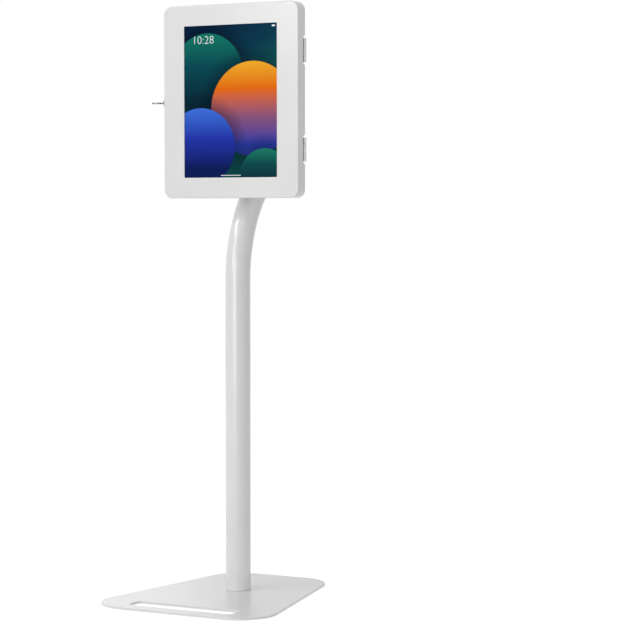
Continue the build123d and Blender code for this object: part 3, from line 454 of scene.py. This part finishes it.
EDGE_OF = {
    "base_plate": 0.25, "base_mat": 0.2, "pole_cap": 0.3, "tilt_yoke": 0.8, "tilt_bolt": 0.3,
    "tilt_nut": 0.3, "tilt_washers": 0.25, "tilt_friction_rings": 0.15, "tilt_stop_pin": 0.3,
    "head_bracket": 0.6, "swivel_disc": 0.6, "swivel_pad": 0.15, "swivel_bolt": 0.2,
    "swivel_washer": 0.25, "swivel_nut": 0.3, "swivel_stop_pin": 0.3, "mounting_plate": 0.5,
    "mount_nuts": 0.3, "back_plate": 0.3, "front_cover": 0.3, "corner_clips": 0.3, "cradle_rails": 0.3,
    "strike": 0.3, "tablet_pads": 0.5, "hinge_frame_leaves": 0.2, "hinge_cover_leaves": 0.2,
    "hinge_pins": 0.25, "lock_plate": 0.2, "lock_body": 0.3, "lock_nut": 0.3, "lock_plug": 0.12,
    "lock_cam": 0.25, "cam_screw": 0.3, "key": 0.25,
}

for node_name, node in frame["nodes"].items():
    finish = FLOOR_PLATE_COAT if node_name == "base_plate" else MATERIALS[SLOT_OF[node_name]]
    if node_name in EDGE_OF:
        soft_edged(node_name, EDGE_OF[node_name] * MM, finish)
    node.data.materials.clear()
    node.data.materials.append(finish)

# The pole as one smooth skin, drawn along the CAD tube's centre line, with a turned edge at its foot. The
# upper bend's radius is to that line, and the pole is upright again from the last height on

POLE_RADIUS = 19.05 * MM
POLE_WALL = 2.0 * MM
FOOT_EDGE = 1.2 * MM
BEND_TURN = radians(50)
UPPER_BEND = 76.2 * MM
UPRIGHT_AGAIN = 676.92 * MM
LOWER_BEND_STEPS = 40
UPPER_BEND_STEPS = 24


def smooth_pole():
    """A ring drawn up, spun back, spun upright and drawn up again, then given its wall.

    Both bends turn by the same angle, so how far back and how high they bring the pole gives the rest.
    """
    low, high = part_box("pole")
    cap_low, cap_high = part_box("pole_cap")
    back = (cap_low.y + cap_high.y) / 2
    lower_bend = back / (1 - cos(BEND_TURN)) - UPPER_BEND
    bend_start = UPRIGHT_AGAIN - (lower_bend + UPPER_BEND) * sin(BEND_TURN)
    foot_radius = POLE_RADIUS - FOOT_EDGE
    straight = bend_start - low.z - FOOT_EDGE
    lower_middle = (0, lower_bend, bend_start)
    upper_middle = (0, back - UPPER_BEND, UPRIGHT_AGAIN)
    deselect()
    bpy.ops.mesh.primitive_circle_add(vertices=ROUND_SIDES, radius=foot_radius, location=(0, 0, low.z))
    tube = bpy.context.object
    bpy.ops.object.transform_apply(location=True, rotation=True, scale=True)
    edit_all(tube)
    bpy.ops.mesh.extrude_region_move(TRANSFORM_OT_translate={"value": (0, 0, FOOT_EDGE)})
    grown = POLE_RADIUS / foot_radius
    bpy.ops.transform.resize(value=(grown, grown, 1), center_override=(0, 0, low.z))
    bpy.ops.mesh.extrude_region_move(TRANSFORM_OT_translate={"value": (0, 0, straight)})
    bpy.ops.mesh.spin(steps=LOWER_BEND_STEPS, angle=BEND_TURN, center=lower_middle, axis=(1, 0, 0))
    bpy.ops.mesh.spin(steps=UPPER_BEND_STEPS, angle=BEND_TURN, center=upper_middle, axis=(-1, 0, 0))
    bpy.ops.mesh.extrude_region_move(TRANSFORM_OT_translate={"value": (0, 0, high.z - UPRIGHT_AGAIN)})
    bpy.ops.mesh.select_all(action="SELECT")
    bpy.ops.mesh.normals_make_consistent(inside=False)
    leave_edit()
    apply_modifier(tube, "wall", "SOLIDIFY", thickness=POLE_WALL, offset=-1)
    settle(tube, "pole_finished", BODY_OF["pole"], MATERIALS[SLOT_OF["pole"]])
    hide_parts("pole")


smooth_pole()

# Weld beads that hold the yoke to the pole, one along each of its back edges. Every second step of a bead
# is pinched to the first share of its radius below, and each end to the second

BEAD_RADIUS = 2.3 * MM
BEAD_SIDES = 14
BEAD_STEP = 0.9 * MM
BEAD_PINCH = 0.88
BEAD_END = 0.5


def weld_bead(name, side):
    """A painted bead in the corner between the pole and the yoke, with the ripples of short welding steps.

    It has an even number of steps, and leaves one free at each end of the seam.
    """
    cap_low, cap_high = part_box("pole_cap")
    yoke_low, yoke_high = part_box("tilt_yoke")
    pole_radius = (cap_high.x - cap_low.x) / 2
    behind = (cap_low.y + cap_high.y) / 2 - yoke_high.y
    seam = sqrt(pole_radius ** 2 - behind ** 2)
    x = side * (seam + BEAD_RADIUS / 2)
    y = yoke_high.y + BEAD_RADIUS / 4
    steps = 2 * int((yoke_high.z - yoke_low.z) / (2 * BEAD_STEP)) - 2
    start = (yoke_low.z + yoke_high.z - steps * BEAD_STEP) / 2
    deselect()
    bpy.ops.mesh.primitive_circle_add(vertices=BEAD_SIDES, radius=BEAD_RADIUS * BEAD_END, fill_type="NGON",
                                      location=(x, y, start))
    bead = bpy.context.object
    bpy.ops.object.transform_apply(location=True, rotation=True, scale=True)
    edit_all(bead)
    for step in range(1, steps + 1):
        size = BEAD_PINCH if step % 2 == 0 else 1 / BEAD_PINCH
        if step == 1:
            size = 1 / BEAD_END
        elif step == steps:
            size = BEAD_END
        bpy.ops.mesh.extrude_region_move(TRANSFORM_OT_translate={"value": (0, 0, BEAD_STEP)})
        bpy.ops.transform.resize(value=(size, size, 1), center_override=(x, y, start + step * BEAD_STEP))
    bpy.ops.mesh.select_all(action="SELECT")
    bpy.ops.mesh.normals_make_consistent(inside=False)
    leave_edit()
    apply_modifier(bead, "rounded_ripples", "SUBSURF", levels=1, render_levels=1)
    settle(bead, name, BODY_OF["tilt_yoke"], MATERIALS[SLOT_OF["tilt_yoke"]])


weld_bead("left_weld_bead", -1)
weld_bead("right_weld_bead", 1)

# Figures on the display, a hair in front of it

FIGURE_LIFT = 0.06 * MM
CLOCK_TALL = 17 * MM
FIGURE_THINNER = 0.3 * MM
CLOCK_LEFT = 13 * MM
CLOCK_DROP = 27 * MM
PILL_WIDE = 5.6 * MM
PILL_TALL = 2.4 * MM
PILL_INSET = 4.0 * MM
BAR_WIDE = 34 * MM
BAR_TALL = 0.9 * MM
BAR_RISE = 3.2 * MM

# A bar's corners are rounded by just under half its height, so that neighbours don't meet in one point
BAR_ROUND = 0.499
BAR_ROUND_STEPS = 8


def clock():
    """Four plain figures near the display's upper left."""
    corner = (SCREEN_LOW.x + CLOCK_LEFT, SCREEN_LOW.y - FIGURE_LIFT, SCREEN_HIGH.z - CLOCK_DROP)
    deselect()
    bpy.ops.object.text_add(location=corner, rotation=(pi / 2, 0, 0))
    text = bpy.context.object
    text.data.body = "10:28"
    text.data.size = CLOCK_TALL
    text.data.offset = -FIGURE_THINNER
    bpy.ops.object.convert(target="MESH")
    settle(bpy.context.object, "clock_figures", BODY_OF["tablet_screen"], FIGURES)


def rounded_bar(name, middle_x, middle_z, wide, tall):
    """A thin bar with round ends on the display."""
    deselect()
    bpy.ops.mesh.primitive_plane_add(size=1, location=(middle_x, SCREEN_LOW.y - FIGURE_LIFT, middle_z),
                                     rotation=(pi / 2, 0, 0))
    bar = bpy.context.object
    bar.scale = (wide, tall, 1)
    bpy.ops.object.transform_apply(location=True, rotation=True, scale=True)
    edit_all(bar)
    bpy.ops.mesh.bevel(offset=tall * BAR_ROUND, segments=BAR_ROUND_STEPS, affect="VERTICES")
    leave_edit()
    settle(bar, name, BODY_OF["tablet_screen"], FIGURES)


clock()
rounded_bar("battery_mark", SCREEN_HIGH.x - PILL_INSET - PILL_WIDE / 2, SCREEN_HIGH.z - PILL_INSET,
            PILL_WIDE, PILL_TALL)
rounded_bar("home_bar", 0, SCREEN_LOW.z + BAR_RISE, BAR_WIDE, BAR_TALL)

# Studio: a pale floor, a white surround and soft boxes

FLOOR_REACH = 30.0
FLOOR_SIDES = 64
WHITE = (1.0, 1.0, 1.0, 1.0)

# What the floor adds for the camera and for reflections, and the surround's light on all else, where 1 is
# white
FLOOR_LIFT = 0.62
AMBIENT = 0.475

# The soft boxes aim at the object's middle. Each has its turn from straight in front and its rise in
# degrees, its distance and size in metres, and how bright it looks, where 1 is white
AIM = Vector((0.0, 0.0, 0.45))
SoftBox = namedtuple("SoftBox", "turn rise away wide tall white")
SOFT_BOXES = {
    "front_box": SoftBox(1, 5, 3.6, 1.5, 1.5, 2.1),
    "low_box": SoftBox(-17, 5, 3.6, 1.5, 1.5, 0.45),
    "strip_box": SoftBox(-20, 25, 3.6, 0.9, 1.8, 2.8),
    "high_box": SoftBox(-48, 40, 3.6, 1.5, 0.9, 3.6),
    "rear_box": SoftBox(-137, 8, 3.6, 1.5, 1.5, 0.65),
}


def white_surround():
    """White for the camera and for reflections, and a plain pale light for everything else."""
    world = bpy.data.worlds.new("studio")
    bpy.context.scene.world = world
    world.use_nodes = True
    tree = world.node_tree
    tree.nodes.clear()
    ray = add(tree, "ShaderNodeLightPath")
    seen_or_glossy = add(tree, "ShaderNodeMath", {0: (ray, "Is Camera Ray"), 1: (ray, "Is Glossy Ray")},
                         operation="MAXIMUM")
    white_ray = add(tree, "ShaderNodeMath", {0: (seen_or_glossy, "Value"), 1: (ray, "Is Transmission Ray")},
                    operation="MAXIMUM")
    shown = add(tree, "ShaderNodeBackground", {"Color": WHITE, "Strength": 1.0})
    lit = add(tree, "ShaderNodeBackground", {"Color": WHITE, "Strength": AMBIENT})
    either = add(tree, "ShaderNodeMixShader", {"Fac": (white_ray, "Value"), 1: (lit, 0), 2: (shown, 0)})
    add(tree, "ShaderNodeOutputWorld", {"Surface": (either, 0)})


def floor_finish():
    """A matt pale floor that looks white to the camera and keeps the object's shadow."""
    material, tree, shader, _ = start_material(
        "studio_floor", Roughness=0.9, Specular_IOR_Level=0.0, Base_Color=linear("#EDEDED"),
        Emission_Color=WHITE)
    ray = add(tree, "ShaderNodeLightPath")
    either = add(tree, "ShaderNodeMath", {0: (ray, "Is Camera Ray"), 1: (ray, "Is Glossy Ray")},
                 operation="MAXIMUM")
    lift = add(tree, "ShaderNodeMath", {0: (either, "Value"), 1: FLOOR_LIFT}, operation="MULTIPLY")
    link_to_shader(tree, shader, Emission_Strength=(lift, "Value"))
    return material


def floor():
    """The studio's floor, which reaches past what any view shows."""
    deselect()
    bpy.ops.mesh.primitive_circle_add(vertices=FLOOR_SIDES, radius=FLOOR_REACH, fill_type="NGON")
    plane = bpy.context.object
    plane.name = "studio_floor"
    plane.data.materials.append(floor_finish())


def soft_box(name, box):
    """An area lamp with the power that makes each point of it as bright as its white says."""
    turn, rise = radians(box.turn), radians(box.rise)
    away = Vector((sin(turn) * cos(rise), -cos(turn) * cos(rise), sin(rise)))
    data = bpy.data.lights.new(name, "AREA")
    data.shape = "RECTANGLE"
    data.size = box.wide
    data.size_y = box.tall
    data.energy = pi * box.wide * box.tall * box.white
    lamp = bpy.data.objects.new(name, data)
    bpy.context.scene.collection.objects.link(lamp)
    lamp.location = AIM + box.away * away
    lamp.rotation_euler = (-away).to_track_quat("-Z", "Y").to_euler()
    lamp.visible_camera = False


white_surround()
floor()
for box_name, box in SOFT_BOXES.items():
    soft_box(box_name, box)

# Camera, fitted to the corners and edges of the object in the photograph. The sensor is in mm and the
# distances in metres. It stands back from the pole's axis along its view, and to the right of it

LENS_PIXELS = 2093.85
PHOTO_PIXELS = 640
SENSOR = 36.0
CAMERA_TURN = radians(26.62)
CAMERA_DIP = radians(2.91)
CAMERA_BACK = 3.1533
CAMERA_SIDE = 0.1239
CAMERA_HEIGHT = 0.5736


def photo_camera():
    """The camera with the photograph's lens, place and view."""
    data = bpy.data.cameras.new("photo_camera")
    data.sensor_width = SENSOR
    data.lens = LENS_PIXELS * SENSOR / PHOTO_PIXELS
    data.clip_end = 2 * FLOOR_REACH
    camera = bpy.data.objects.new("photo_camera", data)
    bpy.context.scene.collection.objects.link(camera)
    ahead = Vector((-sin(CAMERA_TURN), cos(CAMERA_TURN), 0))
    right = Vector((cos(CAMERA_TURN), sin(CAMERA_TURN), 0))
    camera.location = -ahead * CAMERA_BACK + right * CAMERA_SIDE + Vector((0, 0, CAMERA_HEIGHT))
    camera.rotation_euler = (pi / 2 - CAMERA_DIP, 0, CAMERA_TURN)
    bpy.context.scene.camera = camera


photo_camera()
bpy.context.scene.view_settings.view_transform = "Standard"
